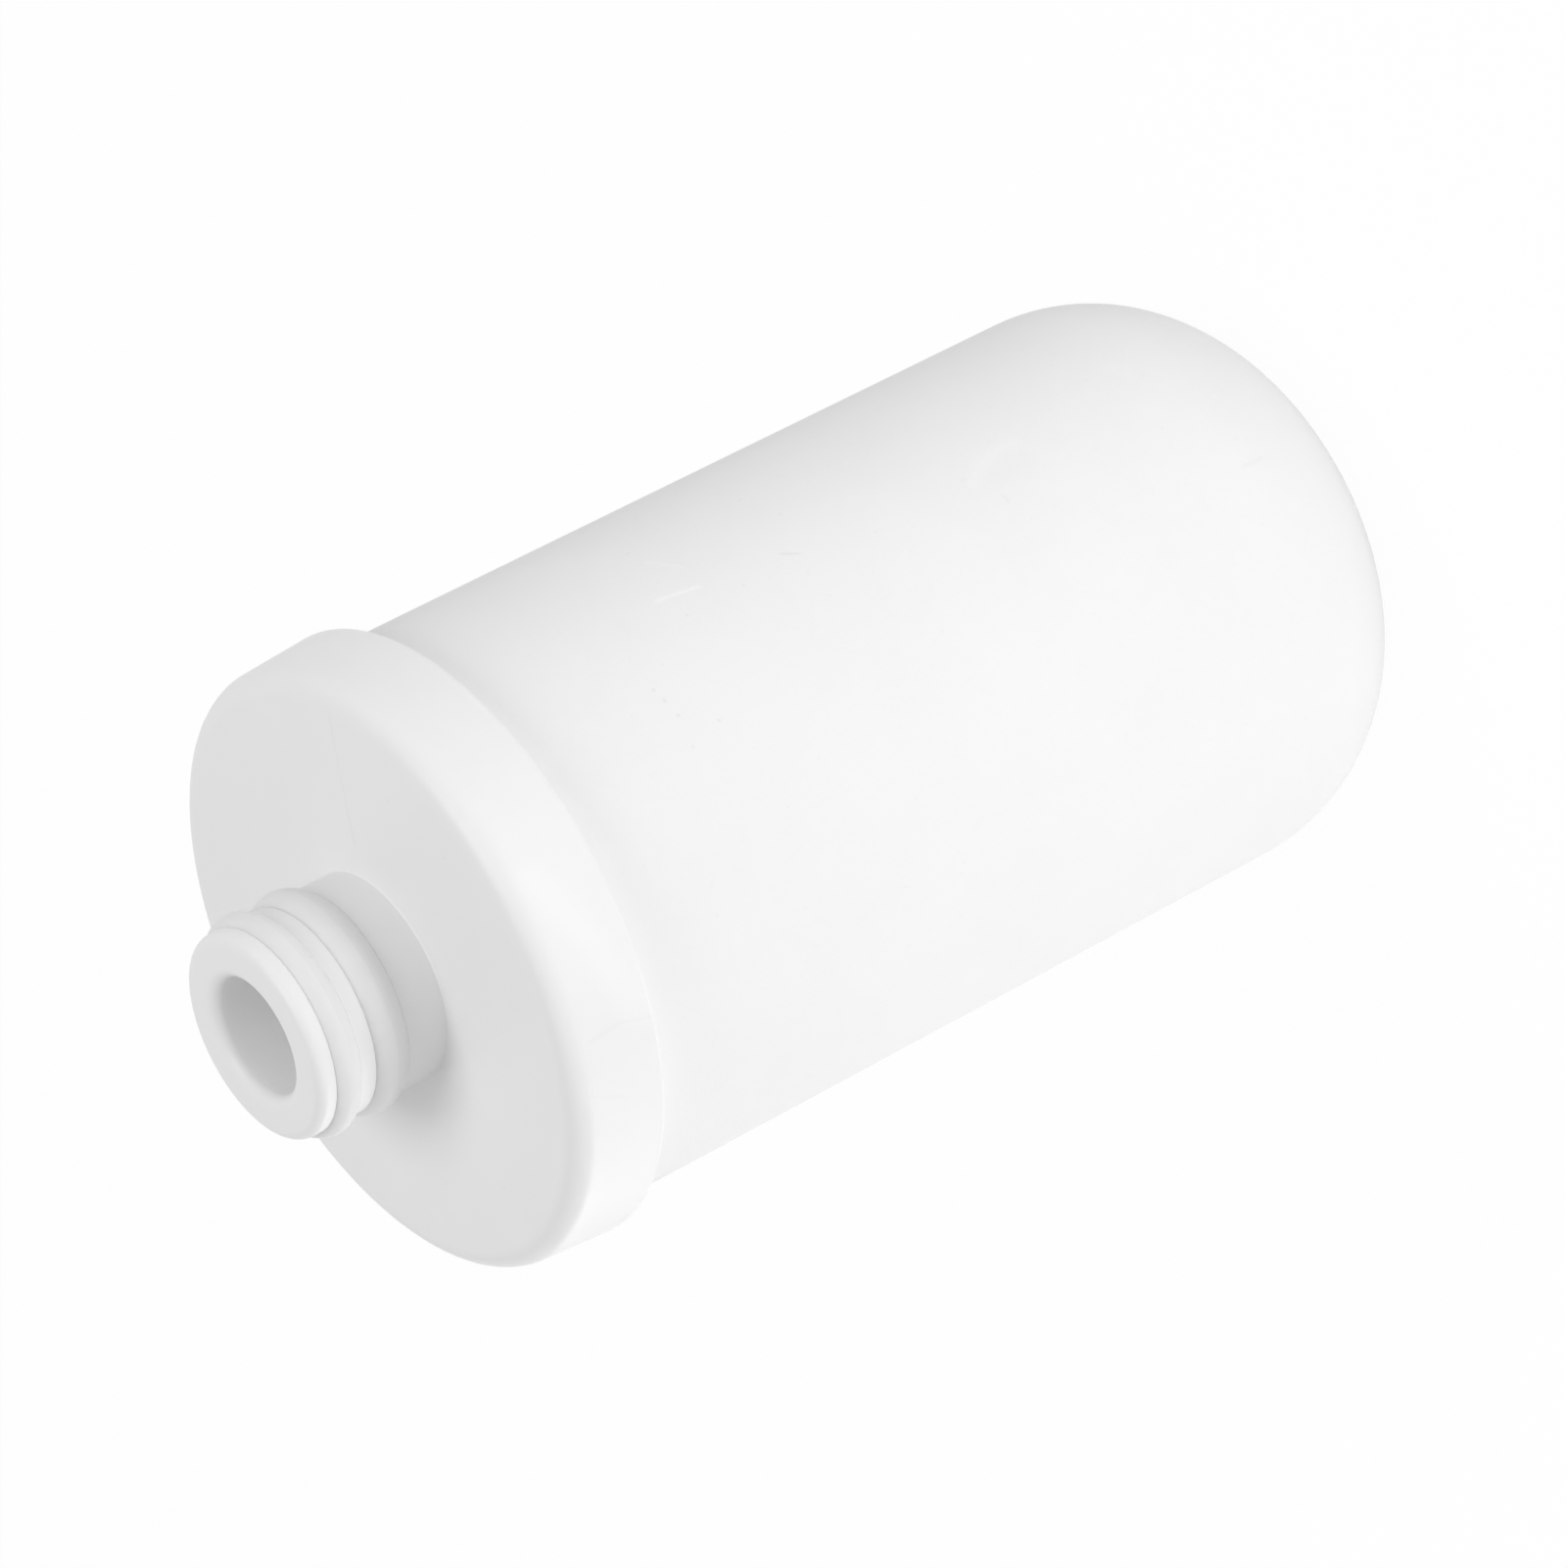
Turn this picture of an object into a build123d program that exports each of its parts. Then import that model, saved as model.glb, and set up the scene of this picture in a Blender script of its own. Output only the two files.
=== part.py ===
# Replacement cartridge for a tap-mounted water filter, in millimetres.
# A thick ceramic cup stands on its closed end, with its mouth bonded into a moulded plastic cap.
# The cap's spigot carries two O-rings and lets out the water that has passed through the cup's wall.
# The axis is Z, the closed end lies on Z = 0 and the spigot points up.

import os

from build123d import *

# Ceramic cup
cup_radius = 21.5
cup_length = 78.8
cup_wall = 6.0
shoulder_radius = 13.4

# Bond that holds the cup's mouth in the cap
bond_bed = 0.5
bond_side = 0.25
bond_setback = 0.4

# Cap: a plate dished a little towards the spigot, a skirt round the cup and a collar inside its mouth
plate_at_neck = 1.75
dish_depth = 0.4
skirt_reach = 4.65
skirt_wall = 1.25
skirt_draft = 0.5
face_edge_round = 1.7
rim_round = 0.35
collar_reach = 3.5
collar_wall = 1.5
collar_lead_in = 0.4

# Spigot
bore_radius = 4.4
bore_mouth_round = 0.95
spigot_wall = 1.67
neck_length = 3.25
neck_foot_round = 0.15
land_length = 1.2
land_round = 0.1
lip_straight = 0.55
lip_round = 0.75

# O-rings as they sit, pressed a little flat by the walls of their grooves; the rear one is the wider
ring_height = 2.3
front_ring_width = 2.1
rear_ring_width = 2.8
ring_flat = 0.5
ring_stand_proud = 0.65
ring_seat_clearance = 0.03
ring_side_clearance = 0.025

# Fill of the cup and the pad that keeps it out of the bore
fill_clearance = 0.05
pad_edge_round = 0.3

# Heights along the axis
plate_underside = cup_length + bond_bed
dish_floor = plate_underside + plate_at_neck
face_height = dish_floor + dish_depth
rim_height = cup_length - skirt_reach
collar_end = cup_length - collar_reach
front_groove_width = front_ring_width + 2 * ring_side_clearance
rear_groove_width = rear_ring_width + 2 * ring_side_clearance
rear_groove_low = dish_floor + neck_length
rear_groove_high = rear_groove_low + rear_groove_width
front_groove_low = rear_groove_high + land_length
front_groove_high = front_groove_low + front_groove_width
spigot_end = front_groove_high + land_round + lip_straight + lip_round

# Radii, each from the piece that it fits
cup_bore_radius = cup_radius - cup_wall
skirt_bore_radius = cup_radius + bond_side
rim_radius = skirt_bore_radius + skirt_wall
face_edge_radius = rim_radius - skirt_draft
collar_radius = cup_bore_radius - bond_side
collar_bore_radius = collar_radius - collar_wall
groove_radius = bore_radius + spigot_wall
ring_centre_radius = groove_radius + ring_seat_clearance + ring_height / 2
spigot_radius = ring_centre_radius + ring_height / 2 - ring_stand_proud

# Edges are found by their height and radius, to within this distance
match_distance = 0.001


def round_edges(piece, height, radius):
    """Circular edges of a piece at one height and radius."""
    circles = piece.edges().filter_by(GeomType.CIRCLE)
    at_height = circles.filter_by(lambda edge: abs(edge.arc_center.Z - height) < match_distance)
    return at_height.filter_by(lambda edge: abs(edge.radius - radius) < match_distance)


os.makedirs("parts", exist_ok=True)

# Ceramic cup: a round-ended blank hollowed to an even wall
with BuildPart() as ceramic_cup:
    with BuildSketch(Plane.XY):
        Circle(cup_radius)
    extrude(amount=cup_length)
    fillet(round_edges(ceramic_cup, 0, cup_radius), radius=shoulder_radius)
    mouth = ceramic_cup.faces().sort_by(Axis.Z)[-1]
    offset(amount=-cup_wall, openings=mouth)
ceramic_cup.part.label = "ceramic_cup"
export_step(ceramic_cup.part, "parts/ceramic_cup.step")

# End cap, one moulding
with BuildPart() as end_cap:
    # Plate and skirt: a drafted blank with a dished face
    with BuildSketch(Plane.XZ):
        with BuildLine():
            rim = Line((0, rim_height), (rim_radius, rim_height))
            skirt_side = Line(rim @ 1, (face_edge_radius, face_height))
            face_edge = Line(skirt_side @ 1, (face_edge_radius - face_edge_round, face_height))
            dish = TangentArc(face_edge @ 1, (spigot_radius, dish_floor), tangent=face_edge % 1)
            Polyline(dish @ 1, (0, dish_floor), rim @ 0)
        make_face()
    revolve(axis=Axis.Z)
    fillet(round_edges(end_cap, face_height, face_edge_radius), radius=face_edge_round)
    fillet(round_edges(end_cap, rim_height, rim_radius), radius=rim_round)

    # Room for the cup's mouth, with the collar standing in it
    with BuildSketch(Plane.XY.offset(rim_height)):
        Circle(skirt_bore_radius)
    extrude(amount=plate_underside - rim_height, mode=Mode.SUBTRACT)
    with BuildSketch(Plane.XY.offset(collar_end)):
        Circle(collar_radius)
        Circle(collar_bore_radius, mode=Mode.SUBTRACT)
    extrude(amount=plate_underside - collar_end)
    chamfer(round_edges(end_cap, collar_end, collar_radius), length=collar_lead_in)

    # Spigot: a plain neck on the dish, then a groove for each ring with a land between them
    with BuildSketch(Plane.XY.offset(dish_floor)):
        Circle(spigot_radius)
    extrude(amount=spigot_end - dish_floor)
    fillet(round_edges(end_cap, dish_floor, spigot_radius), radius=neck_foot_round)
    rear_groove = (rear_groove_low, rear_groove_width)
    front_groove = (front_groove_low, front_groove_width)
    for groove_low, groove_width in (rear_groove, front_groove):
        with BuildSketch(Plane.XY.offset(groove_low)):
            Circle(rim_radius)
            Circle(groove_radius, mode=Mode.SUBTRACT)
        extrude(amount=groove_width, mode=Mode.SUBTRACT)
    for land_edge in (rear_groove_low, rear_groove_high, front_groove_low, front_groove_high):
        fillet(round_edges(end_cap, land_edge, spigot_radius), radius=land_round)

    # Outlet bore through spigot and plate
    with Locations((0, 0, spigot_end)):
        Hole(radius=bore_radius)
    fillet(round_edges(end_cap, spigot_end, spigot_radius), radius=lip_round)
    fillet(round_edges(end_cap, spigot_end, bore_radius), radius=bore_mouth_round)
end_cap.part.label = "end_cap"
export_step(end_cap.part, "parts/end_cap.step")

# O-rings, each in the middle of its groove
rear_ring = ("rear_o_ring", rear_groove_low, rear_ring_width)
front_ring = ("front_o_ring", front_groove_low, front_ring_width)
for ring_name, groove_low, ring_width in (rear_ring, front_ring):
    with BuildPart() as o_ring:
        with BuildSketch(Plane.XZ):
            with Locations((ring_centre_radius, groove_low + ring_side_clearance + ring_width / 2)):
                ring_corner = (min(ring_height, ring_width) - ring_flat) / 2
                RectangleRounded(ring_height, ring_width, radius=ring_corner)
        revolve(axis=Axis.Z)
    o_ring.part.label = ring_name
    export_step(o_ring.part, f"parts/{ring_name}.step")

# Bond: a bed under the cup's mouth, with a thin wall down its outside and its inside
with BuildPart() as bond_ring:
    with BuildSketch(Plane.XY.offset(cup_length)):
        Circle(skirt_bore_radius)
        Circle(collar_radius, mode=Mode.SUBTRACT)
    extrude(amount=bond_bed)
    with BuildSketch(Plane.XY.offset(rim_height + bond_setback)):
        Circle(skirt_bore_radius)
        Circle(cup_radius, mode=Mode.SUBTRACT)
    extrude(amount=cup_length - rim_height - bond_setback)
    with BuildSketch(Plane.XY.offset(collar_end + collar_lead_in)):
        Circle(cup_bore_radius)
        Circle(collar_radius, mode=Mode.SUBTRACT)
    extrude(amount=cup_length - collar_end - collar_lead_in)
bond_ring.part.label = "bond_ring"
export_step(bond_ring.part, "parts/bond_ring.step")

# Outlet pad: a felt disc that fills the collar, pressed against the plate
with BuildPart() as outlet_pad:
    with BuildSketch(Plane.XY.offset(collar_end)):
        Circle(collar_bore_radius - fill_clearance)
    extrude(amount=plate_underside - collar_end)
    fillet(round_edges(outlet_pad, collar_end, collar_bore_radius - fill_clearance), radius=pad_edge_round)
outlet_pad.part.label = "outlet_pad"
export_step(outlet_pad.part, "parts/outlet_pad.step")

# Carbon fill: packed granules that take up the cup's inside, from its floor to the collar
with BuildPart() as carbon_fill:
    with BuildSketch(Plane.XY.offset(cup_wall)):
        Circle(cup_bore_radius - fill_clearance)
    extrude(amount=collar_end - fill_clearance - cup_wall)
    fill_foot = round_edges(carbon_fill, cup_wall, cup_bore_radius - fill_clearance)
    fillet(fill_foot, radius=shoulder_radius - cup_wall)
carbon_fill.part.label = "carbon_fill"
export_step(carbon_fill.part, "parts/carbon_fill.step")
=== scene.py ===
import functools
import math
from typing import NamedTuple

import bmesh
import bpy
from mathutils import Matrix, Vector
from mathutils.bvhtree import BVHTree
from mathutils.geometry import intersect_point_line


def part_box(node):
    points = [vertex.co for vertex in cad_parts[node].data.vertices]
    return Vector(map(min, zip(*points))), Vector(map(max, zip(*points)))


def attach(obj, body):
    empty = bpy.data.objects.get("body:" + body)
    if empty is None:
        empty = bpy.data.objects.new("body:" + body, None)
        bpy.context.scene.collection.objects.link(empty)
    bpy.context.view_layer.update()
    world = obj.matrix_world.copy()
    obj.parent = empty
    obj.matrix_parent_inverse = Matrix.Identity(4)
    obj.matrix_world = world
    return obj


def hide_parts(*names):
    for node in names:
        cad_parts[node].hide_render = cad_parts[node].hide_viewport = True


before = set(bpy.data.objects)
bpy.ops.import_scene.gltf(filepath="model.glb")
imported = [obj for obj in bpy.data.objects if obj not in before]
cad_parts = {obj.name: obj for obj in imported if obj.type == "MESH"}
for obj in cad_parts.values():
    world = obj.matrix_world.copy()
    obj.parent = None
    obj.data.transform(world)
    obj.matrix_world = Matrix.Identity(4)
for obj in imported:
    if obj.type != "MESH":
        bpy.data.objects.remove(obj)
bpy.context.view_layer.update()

bl_info = {
    "name": "Water Filter Cartridge",
    "version": (1, 0, 0),
    "blender": (4, 5, 0),
    "location": "View3D > Sidebar > Cartridge",
    "description": "Dresses a ceramic tap filter cartridge and sets it in a plain studio",
    "category": "Object",
}

MM = 0.001
BODY = "root"

WHITE = (1, 1, 1, 1)
FULL_TURN = 2 * math.pi
QUARTER_TURN = math.pi / 2

# Mesh quality
WELD_DISTANCE = 0.0005 * MM
SHARP_ANGLE = math.radians(35)
FEWEST_ARC_STEPS = 8
INSIDE_COARSENESS = 4
MARK_CUTS = 4
WIDEST_FINE_MARK = 0.6 * MM
FINE_MARGIN = 0.6 * MM

# Names of the shader and of the attribute that says how much lighter or darker a mark is; the attribute also
# carries painted highlight and shade, and the bore's painted light
SHADER = "Principled BSDF"
TONE = "tone"

# Detail of the noise in soft patches, in grit and in fibres
SOFT_DETAIL = 2.0
GRIT_DETAIL = 1.0
FIBRE_DETAIL = 5.0

# The photograph's side and middle in pixels, and the width of the camera's sensor in millimetres
PHOTO_SIDE = 1601
PHOTO_MIDDLE = (PHOTO_SIDE - 1) / 2
SENSOR_WIDTH = 36.0

# Extents of the solids that set the sizes here
CUP_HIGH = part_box("ceramic_cup")[1]
CAP_LOW, CAP_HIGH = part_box("end_cap")
FRONT_RING_LOW, FRONT_RING_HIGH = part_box("front_o_ring")
REAR_RING_LOW, REAR_RING_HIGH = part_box("rear_o_ring")


def length(label, text, millimetres):
    """A length property, given in millimetres."""
    return bpy.props.FloatProperty(
        name=label, description=text, default=millimetres * MM, unit="LENGTH", precision=5
    )


def angle(label, text, degrees):
    """An angle property, given in degrees."""
    return bpy.props.FloatProperty(
        name=label, description=text, default=math.radians(degrees), subtype="ANGLE"
    )


def amount(label, text, value):
    """A plain number property."""
    return bpy.props.FloatProperty(name=label, description=text, default=value)


def count(label, text, number):
    """A whole number property."""
    return bpy.props.IntProperty(name=label, description=text, default=number)


def hex_colour(label, text, code):
    """A colour property, as sRGB hex."""
    return bpy.props.StringProperty(name=label, description=text, default=code)


class CartridgeCup(bpy.types.PropertyGroup):
    """Form and finish of the ceramic cup"""

    wall: length("Wall", "Thickness of the cup's wall and floor", 6.0)
    shoulder: length("Shoulder", "Radius of the closed end's edge", 13.4)
    mesh_step: length("Mesh step", "Spacing of the points on the cup", 0.5)
    colour: hex_colour("Colour", "Fired ceramic", "F3F3F3")
    roughness: amount("Roughness", "Roughness of the unglazed surface", 0.85)
    shine: amount("Shine", "Specular level of the unglazed surface", 0.3)
    grit: length("Grit", "Size of the grains that roughen the surface", 0.22)
    grit_height: length("Grit height", "How far the grains stand up", 0.008)
    grit_tone: amount("Grit tone", "How much lighter the grains are", 0.02)
    cloud: length("Cloud", "Size of the pale and dark clouds in the body", 9.0)
    cloud_tone: amount("Cloud tone", "How much lighter the pale clouds are than the dark ones", 0.03)
    darkest: amount("Darkest", "Tone of the dark clouds, as a share of the colour", 0.985)
    pore_spacing: length("Pore spacing", "Distance between the pores that show", 1.6)
    pore_rim: amount("Pore rim", "Radius where a pore starts, as a share of the spacing", 0.09)
    pore_heart: amount("Pore heart", "Radius where a pore is darkest, as a share of the spacing", 0.04)
    pore_tone: amount("Pore tone", "How much darker the pores are", 0.025)


class CartridgeCap(bpy.types.PropertyGroup):
    """Form and finish of the end cap"""

    bond_bed: length("Bond bed", "Gap between the cup's mouth and the plate", 0.5)
    bond_side: length("Bond side", "Gap beside the cup's wall", 0.25)
    plate: length("Plate", "Thickness of the plate at the neck", 1.75)
    dish: length("Dish", "Depth of the dished face", 0.4)
    skirt_wall: length("Skirt wall", "Thickness of the skirt at its rim", 1.25)
    skirt_draft: length("Skirt draft", "How much narrower the skirt is at the face", 0.5)
    face_round: length("Face round", "Radius of the face's edge", 1.7)
    rim_round: length("Rim round", "Radius of the rim's edge", 0.35)
    collar_reach: length("Collar reach", "How far the collar goes into the cup", 3.5)
    collar_wall: length("Collar wall", "Thickness of the collar", 1.5)
    collar_lead: length("Collar lead", "Chamfer on the collar's end", 0.4)
    bore: length("Bore", "Radius of the outlet bore", 4.4)
    mouth_round: length("Mouth round", "Radius of the bore's mouth", 0.95)
    lip_round: length("Lip round", "Radius of the spigot's outer edge", 0.75)
    foot_round: length("Foot round", "Radius where the neck meets the face", 0.05)
    land_round: length("Land round", "Radius of the grooves' edges", 0.05)
    ring_height: length("Ring height", "Height of the rings, from groove floor to crest", 2.3)
    ring_proud: length("Ring proud", "How far the rings stand out of the spigot", 0.65)
    ring_seat: length("Ring seat", "Clearance under each ring", 0.03)
    ring_side: length("Ring side", "Clearance beside each ring", 0.004)
    mesh_step: length("Mesh step", "Spacing of the points along the section", 0.5)
    colour: hex_colour("Colour", "Moulded plastic", "F4F4F4")
    roughness: amount("Roughness", "Roughness of the moulded surface", 0.42)
    shine: amount("Shine", "Specular level of the moulded surface", 0.35)
    # Painted light: the bore is painted whiter than the rest of the cap, standing in for light that reaches
    # into it
    bore_painted_light: amount("Bore lift", "How much whiter the bore is than the rest of the cap", 0.07)
    turn_steps: count("Turn steps", "Points round the cap", 240)
    cloud: length("Cloud", "Size of the faint clouds in the plastic", 6.0)
    cloud_tone: amount("Cloud tone", "How much lighter the pale clouds are than the dark ones", 0.02)
    darkest: amount("Darkest", "Tone of the dark clouds, as a share of the colour", 0.99)
    ripple: length("Ripple", "Size of the unevenness that the mould leaves", 1.0)
    ripple_height: length("Ripple height", "Height of that unevenness", 0.004)
    ripple_gloss: amount("Ripple gloss", "How much the roughness varies with that unevenness", 0.12)


class CartridgeRings(bpy.types.PropertyGroup):
    """Form and finish of the O-rings"""

    corner: length("Corner", "Radius of a ring's edges on the groove's floor", 0.5)
    flash: length("Flash", "Height of the moulding line round the outside", 0.02)
    flash_width: length("Flash width", "Half width of the moulding line", 0.12)
    mesh_step: length("Mesh step", "Spacing of the points along the section", 0.12)
    colour: hex_colour("Colour", "Silicone rubber", "ECECEC")
    roughness: amount("Roughness", "Roughness of the rubber", 0.5)
    turn_steps: count("Turn steps", "Points round a ring", 180)
    glow: amount("Glow", "Share of the light that goes into the rubber and comes out near by", 0.4)
    glow_depth: length("Glow depth", "How far light passes through the rubber", 1.0)
    dust: length("Dust", "Size of the dust patches", 1.2)
    dust_height: length("Dust height", "Height of the dust", 0.01)
    dust_tone: amount("Dust tone", "How much lighter the dust is than the rubber", 0.04)
    darkest: amount("Darkest", "Tone of the clean rubber, as a share of the colour", 0.98)


class CartridgeInside(bpy.types.PropertyGroup):
    """Finish of the bond, the pad and the carbon"""

    bond_colour: hex_colour("Bond colour", "Cured bond", "E6E5E0")
    bond_roughness: amount("Bond roughness", "Roughness of the cured bond", 0.35)
    bond_cloud: length("Bond cloud", "Size of the clouds in the bond", 2.0)
    bond_tone: amount("Bond tone", "How much lighter the pale clouds are than the dark ones", 0.08)
    bond_darkest: amount("Bond darkest", "Tone of the dark clouds, as a share of the colour", 0.95)
    bubble: length("Bubble", "Spacing of the bubbles in the bond", 0.7)
    bubble_depth: length("Bubble depth", "Depth of the bubbles", 0.03)
    felt_colour: hex_colour("Felt colour", "Pressed felt", "F2F2F0")
    felt_roughness: amount("Felt roughness", "Roughness of the felt", 0.95)
    felt_sheen: amount("Felt sheen", "Sheen of the fibres' ends", 0.3)
    fibre: length("Fibre", "Length of the tangled fibres", 0.5)
    fibre_draw: amount("Fibre draw", "How many times longer than wide the fibres are", 4.0)
    fibre_height: length("Fibre height", "How far the fibres stand up", 0.08)
    fibre_tone: amount("Fibre tone", "How much lighter the fibres are than the gaps", 0.3)
    felt_darkest: amount("Felt darkest", "Tone of the gaps, as a share of the colour", 0.84)
    carbon_colour: hex_colour("Carbon colour", "Activated carbon", "1B1B1C")
    carbon_roughness: amount("Carbon roughness", "Roughness of the carbon", 0.7)
    granule: length("Granule", "Size of the carbon grains", 0.9)
    granule_height: length("Granule height", "How far the grains stand up", 0.25)
    granule_tone: amount("Granule tone", "How much lighter the grains' corners are than their middles", 0.8)
    carbon_darkest: amount("Carbon darkest", "Tone of the grains' middles, as a share of the colour", 0.6)


class CartridgeStage(bpy.types.PropertyGroup):
    """Camera, floor and light"""

    tilt: angle("Tilt", "Angle between the line of sight and the axis", 60.67)
    lean: angle("Lean", "How far the axis climbs from left to right in the picture", 27.22)
    distance: length("Distance", "Camera to cap face, along the line of sight", 592.0)
    lens: amount("Lens", "Focal length in millimetres on a 36 mm sensor", 198.0)
    face_x: amount("Face across", "Cap face's centre in the photograph, pixels from the left", 382.0)
    face_y: amount("Face down", "Cap face's centre in the photograph, pixels from the top", 997.0)
    room_light: amount("Room light", "Strength of the even light from all round", 0.517)
    box_power: amount("Box power", "Watts of the soft light box above", 0.79)
    box_bearing: angle("Box bearing", "Bearing of the light box from the axis", -45.0)
    box_rise: angle("Box rise", "How high the light box stands over the level", 65.0)
    box_distance: length("Box distance", "From the spigot to the light box", 500.0)
    box_side: length("Box side", "Side of the square light box", 250.0)
    front_power: amount("Front power", "Watts of the low light strip before the cartridge", 0.134)
    front_bearing: angle("Front bearing", "Bearing of that strip from the axis", -93.0)
    side_power: amount("Side power", "Watts of the low light strip on the bright side", 0.142)
    side_bearing: angle("Side bearing", "Bearing of that strip from the axis", -190.0)
    strip_distance: length("Strip distance", "From the axis to the light strips", 200.0)
    strip_length: length("Strip length", "Length of the light strips", 300.0)
    strip_height: length("Strip height", "Height of the light strips, which stand on the floor", 30.0)
    floor_reach: length("Floor reach", "From the middle of the floor to its edges", 4000.0)
    floor_colour: hex_colour("Floor colour", "Plain pale floor", "F7F7F7")
    floor_roughness: amount("Floor roughness", "Roughness of the floor", 0.9)
    floor_glow: amount("Floor glow", "Share of plain white in the floor that the camera sees", 0.97)


def linear_colour(hex_code):
    """An sRGB hex colour as linear RGBA."""
    levels = [level / 255 for level in bytes.fromhex(hex_code)]
    linear = [level / 12.92 if level <= 0.04045 else ((level + 0.055) / 1.055) ** 2.4 for level in levels]
    return (*linear, 1.0)


def add_node(tree, kind, inputs=None, output=0, **settings):
    """Adds one node with its settings, fills or links its inputs and gives back one of its outputs."""
    node = tree.nodes.new(kind)
    for name, value in settings.items():
        setattr(node, name, value)
    for key, value in (inputs or {}).items():
        socket = node.inputs[key]
        if isinstance(value, bpy.types.NodeSocket):
            tree.links.new(value, socket)
        else:
            socket.default_value = value
    return node.outputs[output]


def start_material(name, hex_code, finish):
    """A new material with its shader's settings, and a way to add nodes to it."""
    material = bpy.data.materials.new(name)
    material.use_nodes = True
    shader = material.node_tree.nodes[SHADER]
    shader.inputs["Base Color"].default_value = linear_colour(hex_code)
    for socket, value in finish.items():
        shader.inputs[socket].default_value = value
    return material, functools.partial(add_node, material.node_tree)


def finish_surface(material, add, hex_code, value, height, distance):
    """Multiplies the base colour by a value and roughens the surface by a height over a distance."""
    shader = material.node_tree.nodes[SHADER]
    colour = add("ShaderNodeHueSaturation", {"Color": linear_colour(hex_code), "Value": value})
    normal = add("ShaderNodeBump", {"Height": height, "Distance": distance})
    material.node_tree.links.new(colour, shader.inputs["Base Color"])
    material.node_tree.links.new(normal, shader.inputs["Normal"])


def face_height(cap):
    """Height of the cap face's raised edge."""
    return CUP_HIGH.z + cap.bond_bed + cap.plate + cap.dish


def photo_scale(stage):
    """Pixels of the photograph that a length takes up when it is as far from the camera as it is long."""
    return stage.lens / SENSOR_WIDTH * PHOTO_SIDE


def camera_frame(stage, cap):
    """The camera's place and its right, down and forward directions."""
    forward = Vector((0, math.sin(stage.tilt), -math.cos(stage.tilt)))
    level_right = Vector((1, 0, 0))
    level_down = forward.cross(level_right)
    roll = QUARTER_TURN + stage.lean
    right = math.cos(roll) * level_right + math.sin(roll) * level_down
    down = forward.cross(right)
    scale = photo_scale(stage)
    across = (stage.face_x - PHOTO_MIDDLE) / scale * stage.distance
    below = (stage.face_y - PHOTO_MIDDLE) / scale * stage.distance
    face_centre = Vector((0, 0, face_height(cap)))
    place = face_centre - across * right - below * down - stage.distance * forward
    return place, right, down, forward


class Mark(NamedTuple):
    """A mark, of handling or of painted highlight or shade: its path in pixels of the photograph, its change
    of tone, and its sizes in mm.
    """

    path: tuple
    half_width: float
    tone: float
    depth: float = 0.0


def photo_path(scene, surface, pixels):
    """Where pixels of the photograph lie on a surface."""
    place, right, down, forward = camera_frame(scene.cartridge_stage, scene.cartridge_cap)
    scale = photo_scale(scene.cartridge_stage)
    path = []
    for x, y in pixels:
        ray = forward + (x - PHOTO_MIDDLE) / scale * right + (y - PHOTO_MIDDLE) / scale * down
        spot = surface.ray_cast(place, ray.normalized())[0]
        if spot is None:
            raise RuntimeError(f"pixel {x}, {y} of the photograph misses its piece")
        path.append(spot)
    return path


def path_gap(point, path):
    """Distance from a point to a path of straight runs."""
    gap = (point - path[0]).length
    for start, end in zip(path, path[1:]):
        along = intersect_point_line(point, start, end)[1]
        nearest = start.lerp(end, min(max(along, 0), 1))
        gap = min(gap, (point - nearest).length)
    return gap


def verts_along(shape, path, reach):
    """Vertices within reach of a path, each with its gap to it."""
    centre = sum(path, Vector()) / len(path)
    limit = (max((spot - centre).length for spot in path) + reach) ** 2
    gaps = {}
    for vert in shape.verts:
        if (vert.co - centre).length_squared < limit:
            gap = path_gap(vert.co, path)
            if gap < reach:
                gaps[vert] = gap
    return gaps


def wear_and_painted_light(scene, shape, node, marks):
    """Presses marks into a shape, on finer faces where they are narrow, and keeps their tone."""
    surface = BVHTree.FromObject(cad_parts[node], bpy.context.evaluated_depsgraph_get())
    paths = [photo_path(scene, surface, mark.path) for mark in marks]
    fine = set()
    for mark, path in zip(marks, paths):
        if mark.half_width * MM < WIDEST_FINE_MARK:
            fine.update(verts_along(shape, path, mark.half_width * MM + FINE_MARGIN))
    edges = [edge for edge in shape.edges if fine.issuperset(edge.verts)]
    bmesh.ops.subdivide_edges(shape, edges=edges, cuts=MARK_CUTS, use_grid_fill=True)
    shape.normal_update()
    tone = shape.verts.layers.float.new(TONE)
    for mark, path in zip(marks, paths):
        reach = mark.half_width * MM
        for vert, gap in verts_along(shape, path, reach).items():
            # A mark is full along its path and fades smoothly to its edge
            share = (1 - (gap / reach) ** 2) ** 2
            vert[tone] += mark.tone * share
            vert.co -= mark.depth * MM * share * vert.normal


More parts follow.
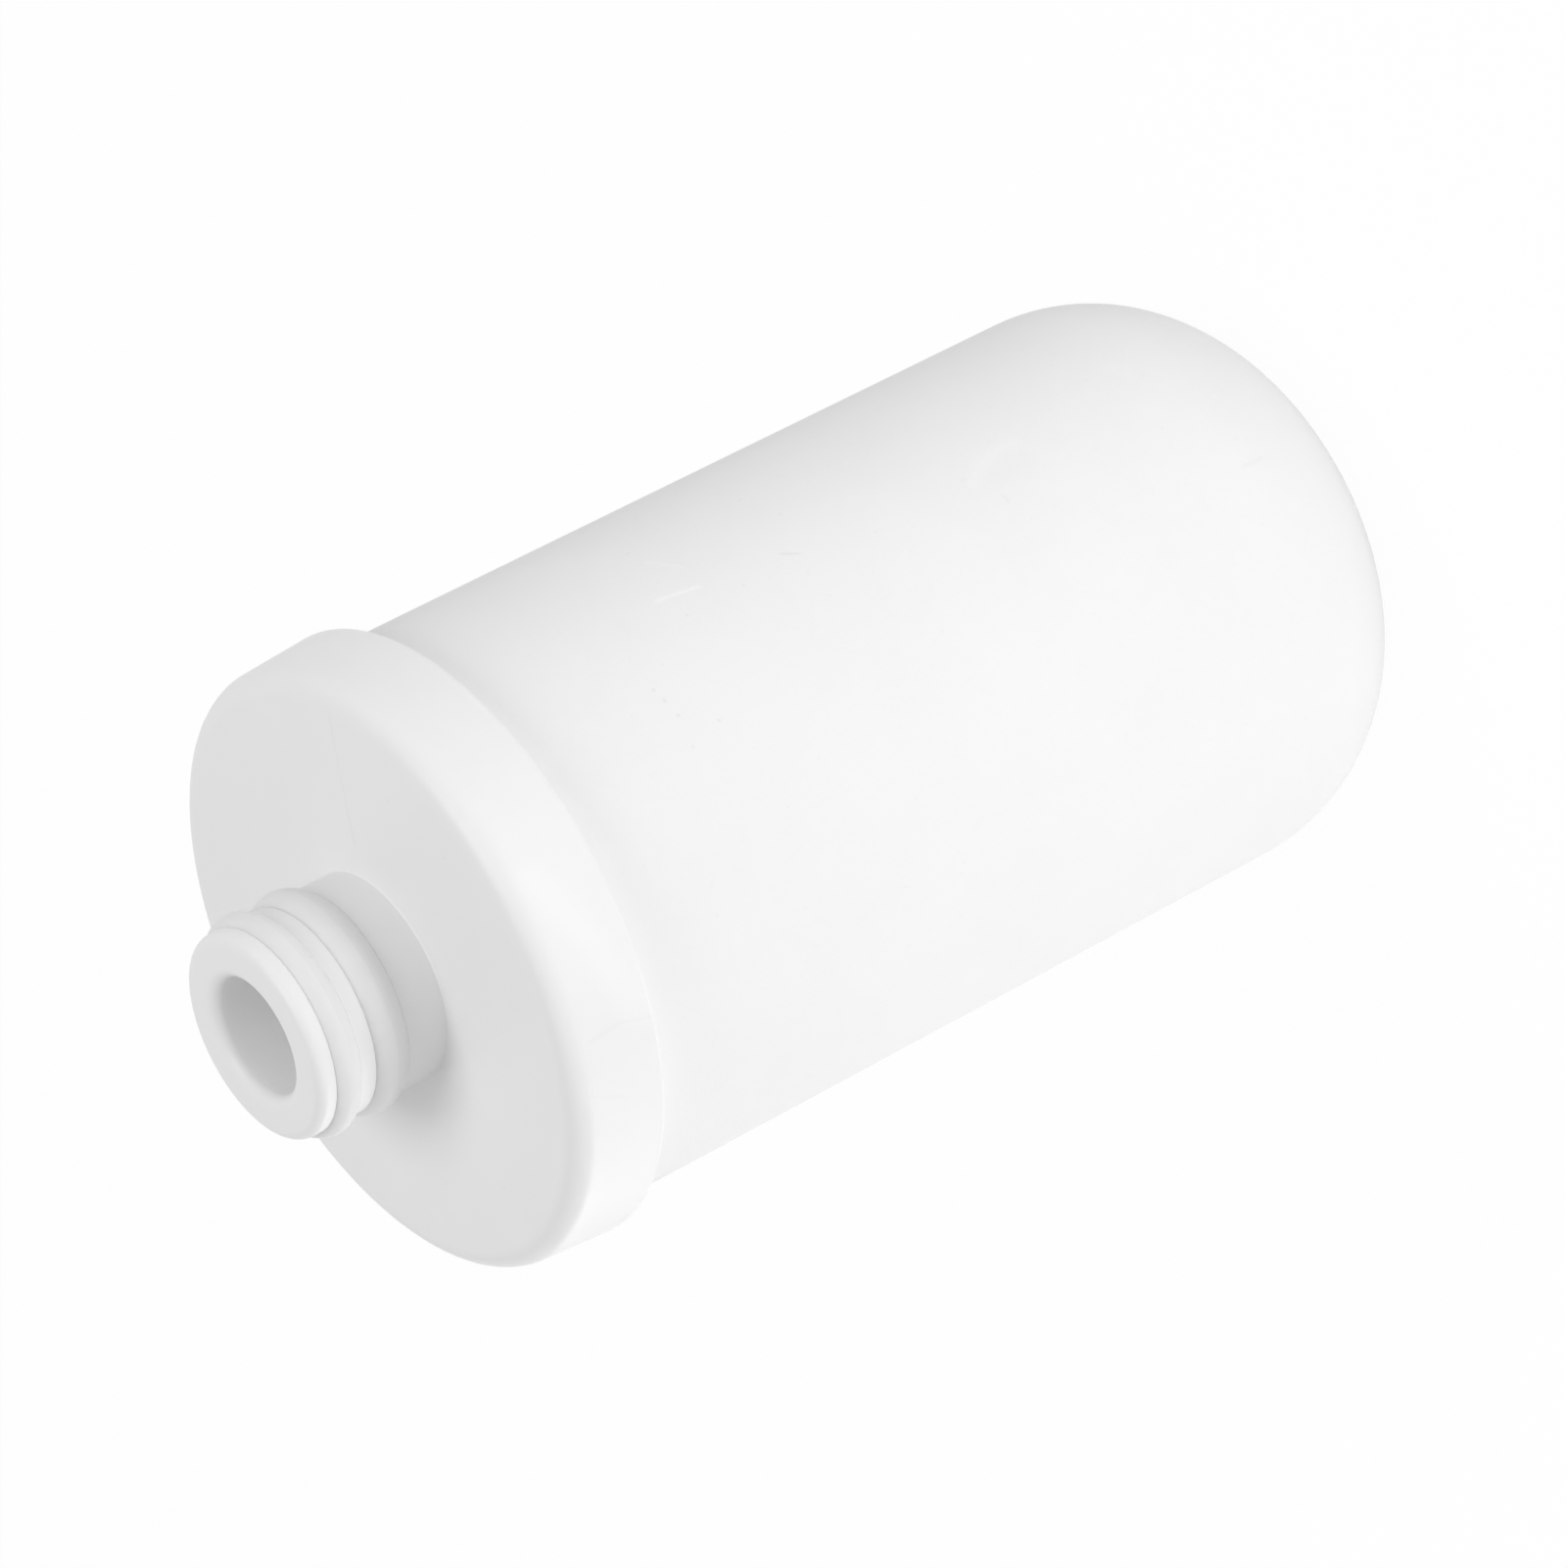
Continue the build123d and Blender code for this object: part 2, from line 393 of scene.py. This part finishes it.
class Outline:
    """A half section drawn as a wire in the XZ plane, then turned round the axis."""

    def __init__(self, x, z, step):
        self.shape = bmesh.new()
        self.end = self.shape.verts.new((x, 0, z))
        self.step = step

    def line(self, x, z):
        """A straight run to a point, in even steps."""
        reach = Vector((x, 0, z)) - self.end.co
        steps = max(1, math.ceil(reach.length / self.step))
        for _ in range(steps):
            grown = bmesh.ops.extrude_vert_indiv(self.shape, verts=[self.end])
            self.end = grown["verts"][0]
            bmesh.ops.translate(self.shape, vec=reach / steps, verts=[self.end])

    def arc(self, x, z, turn):
        """An arc about a centre, anticlockwise where the turn is positive."""
        centre = Vector((x, 0, z))
        run = (self.end.co - centre).length * abs(turn)
        steps = max(FEWEST_ARC_STEPS, math.ceil(run / self.step))
        made = bmesh.ops.spin(
            self.shape, geom=[self.end], cent=centre, axis=(0, -1, 0), angle=turn, steps=steps
        )
        self.end = [item for item in made["geom_last"] if isinstance(item, bmesh.types.BMVert)][0]

    def corner(self, x, z, radius, next_x, next_z):
        """A straight run to a rounded corner, leaving it towards the next point."""
        point = Vector((x, 0, z))
        back = (self.end.co - point).normalized()
        on = (Vector((next_x, 0, next_z)) - point).normalized()
        opening = back.angle(on)
        reach = radius / math.tan(opening / 2)
        start = point + reach * back
        centre = point + radius / math.sin(opening / 2) * (back + on).normalized()
        left_turn = back.z * on.x - back.x * on.z > 0
        self.line(start.x, start.z)
        self.arc(centre.x, centre.z, (math.pi - opening) * (1 if left_turn else -1))

    def path(self, points):
        """Straight runs through points, rounded where a point has a radius; the last has none."""
        for (x, z, radius), follower in zip(points, points[1:] + points[-1:]):
            if radius:
                self.corner(x, z, radius, follower[0], follower[1])
            else:
                self.line(x, z)

    def turn(self, steps):
        """The section turned into a closed body."""
        wire = self.shape.verts[:] + self.shape.edges[:]
        bmesh.ops.spin(
            self.shape, geom=wire, cent=(0, 0, 0), axis=(0, 0, 1),
            angle=FULL_TURN, steps=steps, use_merge=True,
        )
        bmesh.ops.remove_doubles(self.shape, verts=self.shape.verts, dist=WELD_DISTANCE)
        bmesh.ops.recalc_face_normals(self.shape, faces=self.shape.faces)
        return self.shape


def make_piece(shape, node, material):
    """Turns a finished shape into the piece that stands for one solid."""
    name = node + "_look"
    mesh = bpy.data.meshes.new(name)
    shape.to_mesh(mesh)
    shape.free()
    mesh.shade_smooth()
    mesh.set_sharp_from_angle(angle=SHARP_ANGLE)
    mesh.materials.append(material)
    piece = bpy.data.objects.new(name, mesh)
    bpy.context.scene.collection.objects.link(piece)
    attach(piece, BODY)
    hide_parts(node)


def ceramic_material(cup):
    """Unglazed fired ceramic: matt white, faintly gritty, with soft clouds, fine pores and a few marks."""
    finish = {"Roughness": cup.roughness, "Specular IOR Level": cup.shine}
    material, add = start_material("porous_ceramic", cup.colour, finish)
    point = add("ShaderNodeTexCoord", output="Object")
    cloud = add("ShaderNodeTexNoise", {"Vector": point, "Scale": 1 / cup.cloud, "Detail": SOFT_DETAIL})
    grain = add("ShaderNodeTexNoise", {"Vector": point, "Scale": 1 / cup.grit, "Detail": GRIT_DETAIL})
    cells = add("ShaderNodeTexVoronoi", {"Vector": point, "Scale": 1 / cup.pore_spacing})
    pore = add("ShaderNodeMapRange", {"Value": cells, "From Min": cup.pore_rim, "From Max": cup.pore_heart})
    tone = add("ShaderNodeAttribute", output="Fac", attribute_name=TONE)
    value = add("ShaderNodeMath", {0: cloud, 1: cup.cloud_tone, 2: cup.darkest}, operation="MULTIPLY_ADD")
    value = add("ShaderNodeMath", {0: grain, 1: cup.grit_tone, 2: value}, operation="MULTIPLY_ADD")
    value = add("ShaderNodeMath", {0: pore, 1: -cup.pore_tone, 2: value}, operation="MULTIPLY_ADD")
    value = add("ShaderNodeMath", {0: value, 1: tone}, operation="ADD")
    finish_surface(material, add, cup.colour, value, grain, cup.grit_height)
    return material


def plastic_material(cap):
    """Moulded white plastic: satin, slightly uneven from the mould, with a knit line, a few specks and
    painted light in its bore.
    """
    finish = {"Roughness": cap.roughness, "Specular IOR Level": cap.shine}
    material, add = start_material("white_plastic", cap.colour, finish)
    point = add("ShaderNodeTexCoord", output="Object")
    cloud = add("ShaderNodeTexNoise", {"Vector": point, "Scale": 1 / cap.cloud, "Detail": SOFT_DETAIL})
    ripple = add("ShaderNodeTexNoise", {"Vector": point, "Scale": 1 / cap.ripple, "Detail": SOFT_DETAIL})
    tone = add("ShaderNodeAttribute", output="Fac", attribute_name=TONE)
    value = add("ShaderNodeMath", {0: cloud, 1: cap.cloud_tone, 2: cap.darkest}, operation="MULTIPLY_ADD")
    value = add("ShaderNodeMath", {0: value, 1: tone}, operation="ADD")
    glossiest = cap.roughness - cap.ripple_gloss / 2
    gloss = add("ShaderNodeMath", {0: ripple, 1: cap.ripple_gloss, 2: glossiest}, operation="MULTIPLY_ADD")
    material.node_tree.links.new(gloss, material.node_tree.nodes[SHADER].inputs["Roughness"])
    finish_surface(material, add, cap.colour, value, ripple, cap.ripple_height)
    return material


def silicone_material(rings):
    """Silicone rubber: pale and soft in its shine, since some light passes into it, with dust on it."""
    finish = {
        "Roughness": rings.roughness,
        "Subsurface Weight": rings.glow,
        "Subsurface Radius": WHITE[:3],
        "Subsurface Scale": rings.glow_depth,
    }
    material, add = start_material("silicone", rings.colour, finish)
    point = add("ShaderNodeTexCoord", output="Object")
    dust = add("ShaderNodeTexNoise", {"Vector": point, "Scale": 1 / rings.dust, "Detail": SOFT_DETAIL})
    tone = add("ShaderNodeAttribute", output="Fac", attribute_name=TONE)
    value = add("ShaderNodeMath", {0: dust, 1: rings.dust_tone, 2: rings.darkest}, operation="MULTIPLY_ADD")
    value = add("ShaderNodeMath", {0: value, 1: tone}, operation="ADD")
    finish_surface(material, add, rings.colour, value, dust, rings.dust_height)
    return material


def bond_material(inside):
    """Cured bond: off-white and glossy, with small bubbles."""
    material, add = start_material("cured_bond", inside.bond_colour, {"Roughness": inside.bond_roughness})
    point = add("ShaderNodeTexCoord", output="Object")
    cloud = add("ShaderNodeTexNoise", {"Vector": point, "Scale": 1 / inside.bond_cloud})
    bubbles = add("ShaderNodeTexVoronoi", {"Vector": point, "Scale": 1 / inside.bubble})
    tones = {0: cloud, 1: inside.bond_tone, 2: inside.bond_darkest}
    value = add("ShaderNodeMath", tones, operation="MULTIPLY_ADD")
    finish_surface(material, add, inside.bond_colour, value, bubbles, inside.bubble_depth)
    return material


def felt_material(inside):
    """Pressed felt: soft white with short tangled fibres."""
    finish = {"Roughness": inside.felt_roughness, "Sheen Weight": inside.felt_sheen}
    material, add = start_material("felt", inside.felt_colour, finish)
    point = add("ShaderNodeTexCoord", output="Object")
    drawn = add("ShaderNodeMapping", {"Vector": point, "Scale": (1.0, inside.fibre_draw, 1.0)})
    fibres = add("ShaderNodeTexNoise", {"Vector": drawn, "Scale": 1 / inside.fibre, "Detail": FIBRE_DETAIL})
    tones = {0: fibres, 1: inside.fibre_tone, 2: inside.felt_darkest}
    value = add("ShaderNodeMath", tones, operation="MULTIPLY_ADD")
    finish_surface(material, add, inside.felt_colour, value, fibres, inside.fibre_height)
    return material


def carbon_material(inside):
    """Packed activated carbon: black grains that catch a little light on their corners."""
    finish = {"Roughness": inside.carbon_roughness}
    material, add = start_material("carbon_granules", inside.carbon_colour, finish)
    point = add("ShaderNodeTexCoord", output="Object")
    grains = add("ShaderNodeTexVoronoi", {"Vector": point, "Scale": 1 / inside.granule})
    tones = {0: grains, 1: inside.granule_tone, 2: inside.carbon_darkest}
    value = add("ShaderNodeMath", tones, operation="MULTIPLY_ADD")
    finish_surface(material, add, inside.carbon_colour, value, grains, inside.granule_height)
    return material


# Handling marks, and marks of painted highlight and shade, placed by pixels of the photograph: path, half
# width, tone and depth
CERAMIC_MARKS = (
    # Dark specks
    Mark(((797, 565), (815, 565)), 0.15, -0.08),
    Mark(((667, 704),), 0.2, -0.1),
    Mark(((678, 715),), 0.2, -0.1),
    Mark(((692, 730),), 0.2, -0.1),
    Mark(((734, 735),), 0.2, -0.08),
    Mark(((707, 762),), 0.17, -0.08),
    Mark(((701, 628),), 0.17, -0.08),
    Mark(((754, 511),), 0.17, -0.08),
    Mark(((640, 565),), 0.17, -0.08),
    Mark(((796, 525),), 0.17, -0.08),
    Mark(((759, 597),), 0.17, -0.08),
    Mark(((732, 934),), 0.17, -0.06),
    Mark(((924, 905),), 0.17, -0.06),
    # Pale scratches
    Mark(((670, 613), (690, 606), (712, 599)), 0.28, 0.05),
    Mark(((660, 574), (696, 579)), 0.2, 0.03),
    # Shallow dent, pressed in, with painted highlight along its rim and painted shade in its hollow, and
    # spots beside it
    Mark(((994, 494), (1000, 476), (1010, 464), (1022, 457), (1036, 452)), 0.8, 0.02, 0.05),
    Mark(((1022, 485), (1046, 468)), 1.5, -0.012, 0.03),
    Mark(((982, 490),), 0.3, -0.02),
    Mark(((1010, 451),), 0.3, -0.02),
    Mark(((1023, 505), (1029, 511)), 0.3, -0.03, 0.01),
    # Scuffs and spots near the closed end
    Mark(((1130, 374), (1150, 380)), 0.9, 0.012),
    Mark(((1166, 383),), 0.35, -0.015),
    Mark(((1187, 386),), 0.35, -0.015),
    Mark(((1232, 402),), 0.3, -0.02),
    Mark(((1240, 404),), 0.4, 0.02),
    Mark(((1262, 447),), 0.3, -0.02),
    Mark(((1268, 476), (1278, 472), (1288, 467)), 0.35, -0.025, 0.01),
)
CAP_MARKS = (
    # Knit line on the face
    Mark(((336, 732), (362, 863)), 0.17, -0.04, 0.01),
    # Dark specks on the face
    Mark(((395, 818),), 0.17, -0.08),
    Mark(((453, 876),), 0.17, -0.08),
    Mark(((514, 1213),), 0.17, -0.08),
    Mark(((455, 1208),), 0.17, -0.08),
    # Pale patch and two faint lines on the skirt
    Mark(((545, 900), (600, 960), (650, 1030)), 2.2, 0.025),
    Mark(((602, 1063), (634, 1043), (664, 1037)), 0.2, -0.02),
    Mark(((602, 1119), (640, 1119)), 0.2, -0.015),
)
REAR_RING_MARKS = (
    # Two pale streaks: one a painted highlight along the ring's edge, the other a scratch
    Mark(((367, 956), (383, 981)), 0.12, 0.03),
    Mark(((378, 1003), (394, 1041)), 0.12, 0.03),
)


class CARTRIDGE_OT_cup(bpy.types.Operator):
    """Builds the ceramic cup with its handling marks, and painted highlight and shade on its dent"""

    bl_idname = "cartridge.cup"
    bl_label = "Build ceramic cup"

    def execute(self, context):
        scene = context.scene
        cup = scene.cartridge_cup
        radius = CUP_HIGH.x
        mouth = CUP_HIGH.z
        shoulder = cup.shoulder
        inner = radius - cup.wall
        outline = Outline(0, 0, cup.mesh_step)
        outline.line(radius - shoulder, 0)
        outline.arc(radius - shoulder, shoulder, QUARTER_TURN)
        outline.line(radius, mouth)
        outline.step = INSIDE_COARSENESS * cup.mesh_step
        outline.line(inner, mouth)
        outline.line(inner, shoulder)
        outline.arc(radius - shoulder, shoulder, -QUARTER_TURN)
        outline.line(0, cup.wall)
        shape = outline.turn(round(FULL_TURN * radius / cup.mesh_step))
        wear_and_painted_light(scene, shape, "ceramic_cup", CERAMIC_MARKS)
        make_piece(shape, "ceramic_cup", ceramic_material(cup))
        return {"FINISHED"}


class CARTRIDGE_OT_cap(bpy.types.Operator):
    """Builds the end cap: skirt, dished plate, collar and spigot"""

    bl_idname = "cartridge.cap"
    bl_label = "Build end cap"

    def execute(self, context):
        scene = context.scene
        cap = scene.cartridge_cap
        cup = scene.cartridge_cup
        underside = CUP_HIGH.z + cap.bond_bed
        dish_floor = underside + cap.plate
        face = face_height(cap)
        rim = CAP_LOW.z
        skirt_bore = CUP_HIGH.x + cap.bond_side
        rim_radius = skirt_bore + cap.skirt_wall
        face_edge = rim_radius - cap.skirt_draft
        collar = CUP_HIGH.x - cup.wall - cap.bond_side
        collar_bore = collar - cap.collar_wall
        collar_end = CUP_HIGH.z - cap.collar_reach
        end = CAP_HIGH.z
        floor = FRONT_RING_HIGH.x - cap.ring_height - cap.ring_seat
        spigot = FRONT_RING_HIGH.x - cap.ring_proud
        front_low = FRONT_RING_LOW.z - cap.ring_side
        front_high = FRONT_RING_HIGH.z + cap.ring_side
        rear_low = REAR_RING_LOW.z - cap.ring_side
        rear_high = REAR_RING_HIGH.z + cap.ring_side

        # The dish is one arc from the neck's foot to the raised edge, level where it ends
        dish_edge = face_edge - cap.face_round
        dish_radius = ((dish_edge - spigot) ** 2 + cap.dish ** 2) / (2 * cap.dish)
        dish_centre = face - dish_radius
        foot_x = spigot + cap.foot_round
        foot_rise = math.sqrt((dish_radius + cap.foot_round) ** 2 - (dish_edge - foot_x) ** 2)
        foot_z = dish_centre + foot_rise
        foot_lean = math.atan2(dish_edge - foot_x, foot_rise)

        outline = Outline(cap.bore, underside, cap.mesh_step)
        outline.path([
            (cap.bore, end, cap.mouth_round),
            (spigot, end, cap.lip_round),
            (spigot, front_high, cap.land_round),
            (floor, front_high, 0),
            (floor, front_low, 0),
            (spigot, front_low, cap.land_round),
            (spigot, rear_high, cap.land_round),
            (floor, rear_high, 0),
            (floor, rear_low, 0),
            (spigot, rear_low, cap.land_round),
            (spigot, foot_z, 0),
        ])
        outline.arc(foot_x, foot_z, QUARTER_TURN + foot_lean)
        outline.arc(dish_edge, dish_centre, -foot_lean)
        outline.path([
            (face_edge, face, cap.face_round),
            (rim_radius, rim, cap.rim_round),
            (skirt_bore, rim, 0),
            (skirt_bore, underside, 0),
            (collar, underside, 0),
            (collar, collar_end + cap.collar_lead, 0),
            (collar - cap.collar_lead, collar_end, 0),
            (collar_bore, collar_end, 0),
            (collar_bore, underside, 0),
            (cap.bore, underside, 0),
        ])
        shape = outline.turn(cap.turn_steps)
        wear_and_painted_light(scene, shape, "end_cap", CAP_MARKS)
        # Painted light: the bore's points are painted whiter, standing in for light that reaches into the
        # bore
        tone = shape.verts.layers.float[TONE]
        for vert in shape.verts:
            if vert.co.xy.length < cap.bore + WELD_DISTANCE:
                vert[tone] += cap.bore_painted_light
        make_piece(shape, "end_cap", plastic_material(cap))
        return {"FINISHED"}


class CARTRIDGE_OT_rings(bpy.types.Operator):
    """Builds the two O-rings with their moulding lines"""

    bl_idname = "cartridge.rings"
    bl_label = "Build O-rings"

    def execute(self, context):
        scene = context.scene
        rings = scene.cartridge_rings
        cap = scene.cartridge_cap
        material = silicone_material(rings)
        for node, marks in (("front_o_ring", ()), ("rear_o_ring", REAR_RING_MARKS)):
            low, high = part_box(node)
            crest = high.x
            spigot = crest - cap.ring_proud
            inner = crest - cap.ring_height
            middle = (low.z + high.z) / 2
            half = (high.z - low.z) / 2

            # What stands out of the groove is a dome, with the moulding line on its crest
            dome = (half ** 2 + cap.ring_proud ** 2) / (2 * cap.ring_proud)
            flash_lean = math.asin(rings.flash_width / dome)
            dome_turn = math.asin(half / dome) - flash_lean
            flash_foot = crest - dome + dome * math.cos(flash_lean)
            outline = Outline(crest + rings.flash, middle, rings.mesh_step)
            outline.line(flash_foot, middle + rings.flash_width)
            outline.arc(crest - dome, middle, dome_turn)
            outline.path([
                (inner, high.z, rings.corner),
                (inner, low.z, rings.corner),
                (spigot, low.z, 0),
            ])
            outline.arc(crest - dome, middle, dome_turn)
            outline.line(crest + rings.flash, middle)
            shape = outline.turn(rings.turn_steps)
            wear_and_painted_light(scene, shape, node, marks)
            make_piece(shape, node, material)
        return {"FINISHED"}


class CARTRIDGE_OT_inside(bpy.types.Operator):
    """Finishes the bond, the pad and the carbon inside"""

    bl_idname = "cartridge.inside"
    bl_label = "Finish inside"

    def execute(self, context):
        inside = context.scene.cartridge_inside
        finishes = {"bond_ring": bond_material, "outlet_pad": felt_material, "carbon_fill": carbon_material}
        for name, make_material in finishes.items():
            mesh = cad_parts[name].data
            mesh.materials.clear()
            mesh.materials.append(make_material(inside))
        return {"FINISHED"}


def background_share(tree):
    """One for a ray from the camera or a reflection, so that both see the plain white background."""
    rays = add_node(tree, "ShaderNodeLightPath").node.outputs
    share = add_node(
        tree, "ShaderNodeMath", {0: rays["Is Camera Ray"], 1: rays["Is Glossy Ray"]}, operation="ADD"
    )
    return add_node(tree, "ShaderNodeMath", {0: share, 1: rays["Is Transmission Ray"]}, operation="ADD")


def floor_material(stage):
    """Plain pale floor: matt, and close to white where the camera sees it, so the shadow stays soft."""
    material, add = start_material("studio_floor", stage.floor_colour, {"Roughness": stage.floor_roughness})
    tree = material.node_tree
    white = add("ShaderNodeEmission", {"Color": WHITE, "Strength": 1.0})
    seen = background_share(tree)
    share = add("ShaderNodeMath", {0: seen, 1: stage.floor_glow}, operation="MULTIPLY")
    mix = add("ShaderNodeMixShader", {0: share, 1: tree.nodes[SHADER].outputs[0], 2: white})
    tree.links.new(mix, tree.nodes["Material Output"].inputs["Surface"])
    return material


def studio_world(stage):
    """Even white light from all round, in front of a plain white background."""
    world = bpy.data.worlds.new("studio")
    world.use_nodes = True
    tree = world.node_tree
    strength = add_node(
        tree, "ShaderNodeMath", {0: background_share(tree), 1: stage.room_light}, operation="MAXIMUM"
    )
    background = tree.nodes["Background"]
    background.inputs["Color"].default_value = WHITE
    tree.links.new(strength, background.inputs["Strength"])
    return world


def add_lamp(name, target, bearing, rise, distance, width, height, power):
    """A rectangular soft light, unseen by the camera, that faces a target from a bearing and a rise."""
    data = bpy.data.lights.new(name, "AREA")
    data.shape = "RECTANGLE"
    data.size = width
    data.size_y = height
    data.energy = power
    lamp = bpy.data.objects.new(name, data)
    level = Vector((math.cos(bearing), math.sin(bearing), 0))
    outward = math.cos(rise) * level + math.sin(rise) * Vector((0, 0, 1))
    lamp.rotation_euler = (-outward).to_track_quat("-Z", "Y").to_euler()
    lamp.location = target + distance * outward
    lamp.visible_camera = False
    bpy.context.scene.collection.objects.link(lamp)


class CARTRIDGE_OT_stage(bpy.types.Operator):
    """Sets the floor, the light and the camera"""

    bl_idname = "cartridge.stage"
    bl_label = "Set stage"

    def execute(self, context):
        scene = context.scene
        stage = scene.cartridge_stage
        place, right, down, forward = camera_frame(stage, scene.cartridge_cap)
        data = bpy.data.cameras.new("camera")
        data.lens = stage.lens
        data.sensor_width = SENSOR_WIDTH
        camera = bpy.data.objects.new("camera", data)
        facing = Matrix((right, -down, -forward)).transposed().to_4x4()
        camera.matrix_world = Matrix.Translation(place) @ facing
        scene.collection.objects.link(camera)
        scene.camera = camera

        mesh = bpy.data.meshes.new("floor")
        shape = bmesh.new()
        bmesh.ops.create_grid(shape, x_segments=1, y_segments=1, size=stage.floor_reach)
        shape.to_mesh(mesh)
        shape.free()
        mesh.materials.append(floor_material(stage))
        floor = bpy.data.objects.new("floor", mesh)
        scene.collection.objects.link(floor)

        scene.world = studio_world(stage)
        spigot = Vector((0, 0, CAP_HIGH.z))
        add_lamp(
            "light_box", spigot, stage.box_bearing, stage.box_rise, stage.box_distance,
            stage.box_side, stage.box_side, stage.box_power,
        )
        foot = Vector((0, 0, stage.strip_height / 2))
        strips = {
            "front_strip": (stage.front_bearing, stage.front_power),
            "side_strip": (stage.side_bearing, stage.side_power),
        }
        for name, (bearing, power) in strips.items():
            add_lamp(
                name, foot, bearing, 0, stage.strip_distance, stage.strip_length, stage.strip_height, power
            )
        scene.view_settings.view_transform = "Standard"
        return {"FINISHED"}


OPERATORS = (CARTRIDGE_OT_cup, CARTRIDGE_OT_cap, CARTRIDGE_OT_rings, CARTRIDGE_OT_inside, CARTRIDGE_OT_stage)


class CARTRIDGE_PT_panel(bpy.types.Panel):
    """Lists the steps that build the cartridge"""

    bl_label = "Cartridge"
    bl_space_type = "VIEW_3D"
    bl_region_type = "UI"
    bl_category = "Cartridge"

    def draw(self, context):
        for operator in OPERATORS:
            self.layout.operator(operator.bl_idname)


GROUPS = {
    "cartridge_cup": CartridgeCup,
    "cartridge_cap": CartridgeCap,
    "cartridge_rings": CartridgeRings,
    "cartridge_inside": CartridgeInside,
    "cartridge_stage": CartridgeStage,
}


def register():
    for group in GROUPS.values():
        bpy.utils.register_class(group)
    for operator in OPERATORS:
        bpy.utils.register_class(operator)
    bpy.utils.register_class(CARTRIDGE_PT_panel)
    for name, group in GROUPS.items():
        setattr(bpy.types.Scene, name, bpy.props.PointerProperty(type=group))


def unregister():
    for name in GROUPS:
        delattr(bpy.types.Scene, name)
    bpy.utils.unregister_class(CARTRIDGE_PT_panel)
    for operator in reversed(OPERATORS):
        bpy.utils.unregister_class(operator)
    for group in reversed(tuple(GROUPS.values())):
        bpy.utils.unregister_class(group)


def main():
    register()
    bpy.ops.cartridge.cup()
    bpy.ops.cartridge.cap()
    bpy.ops.cartridge.rings()
    bpy.ops.cartridge.inside()
    bpy.ops.cartridge.stage()


if __name__ == "__main__":
    main()
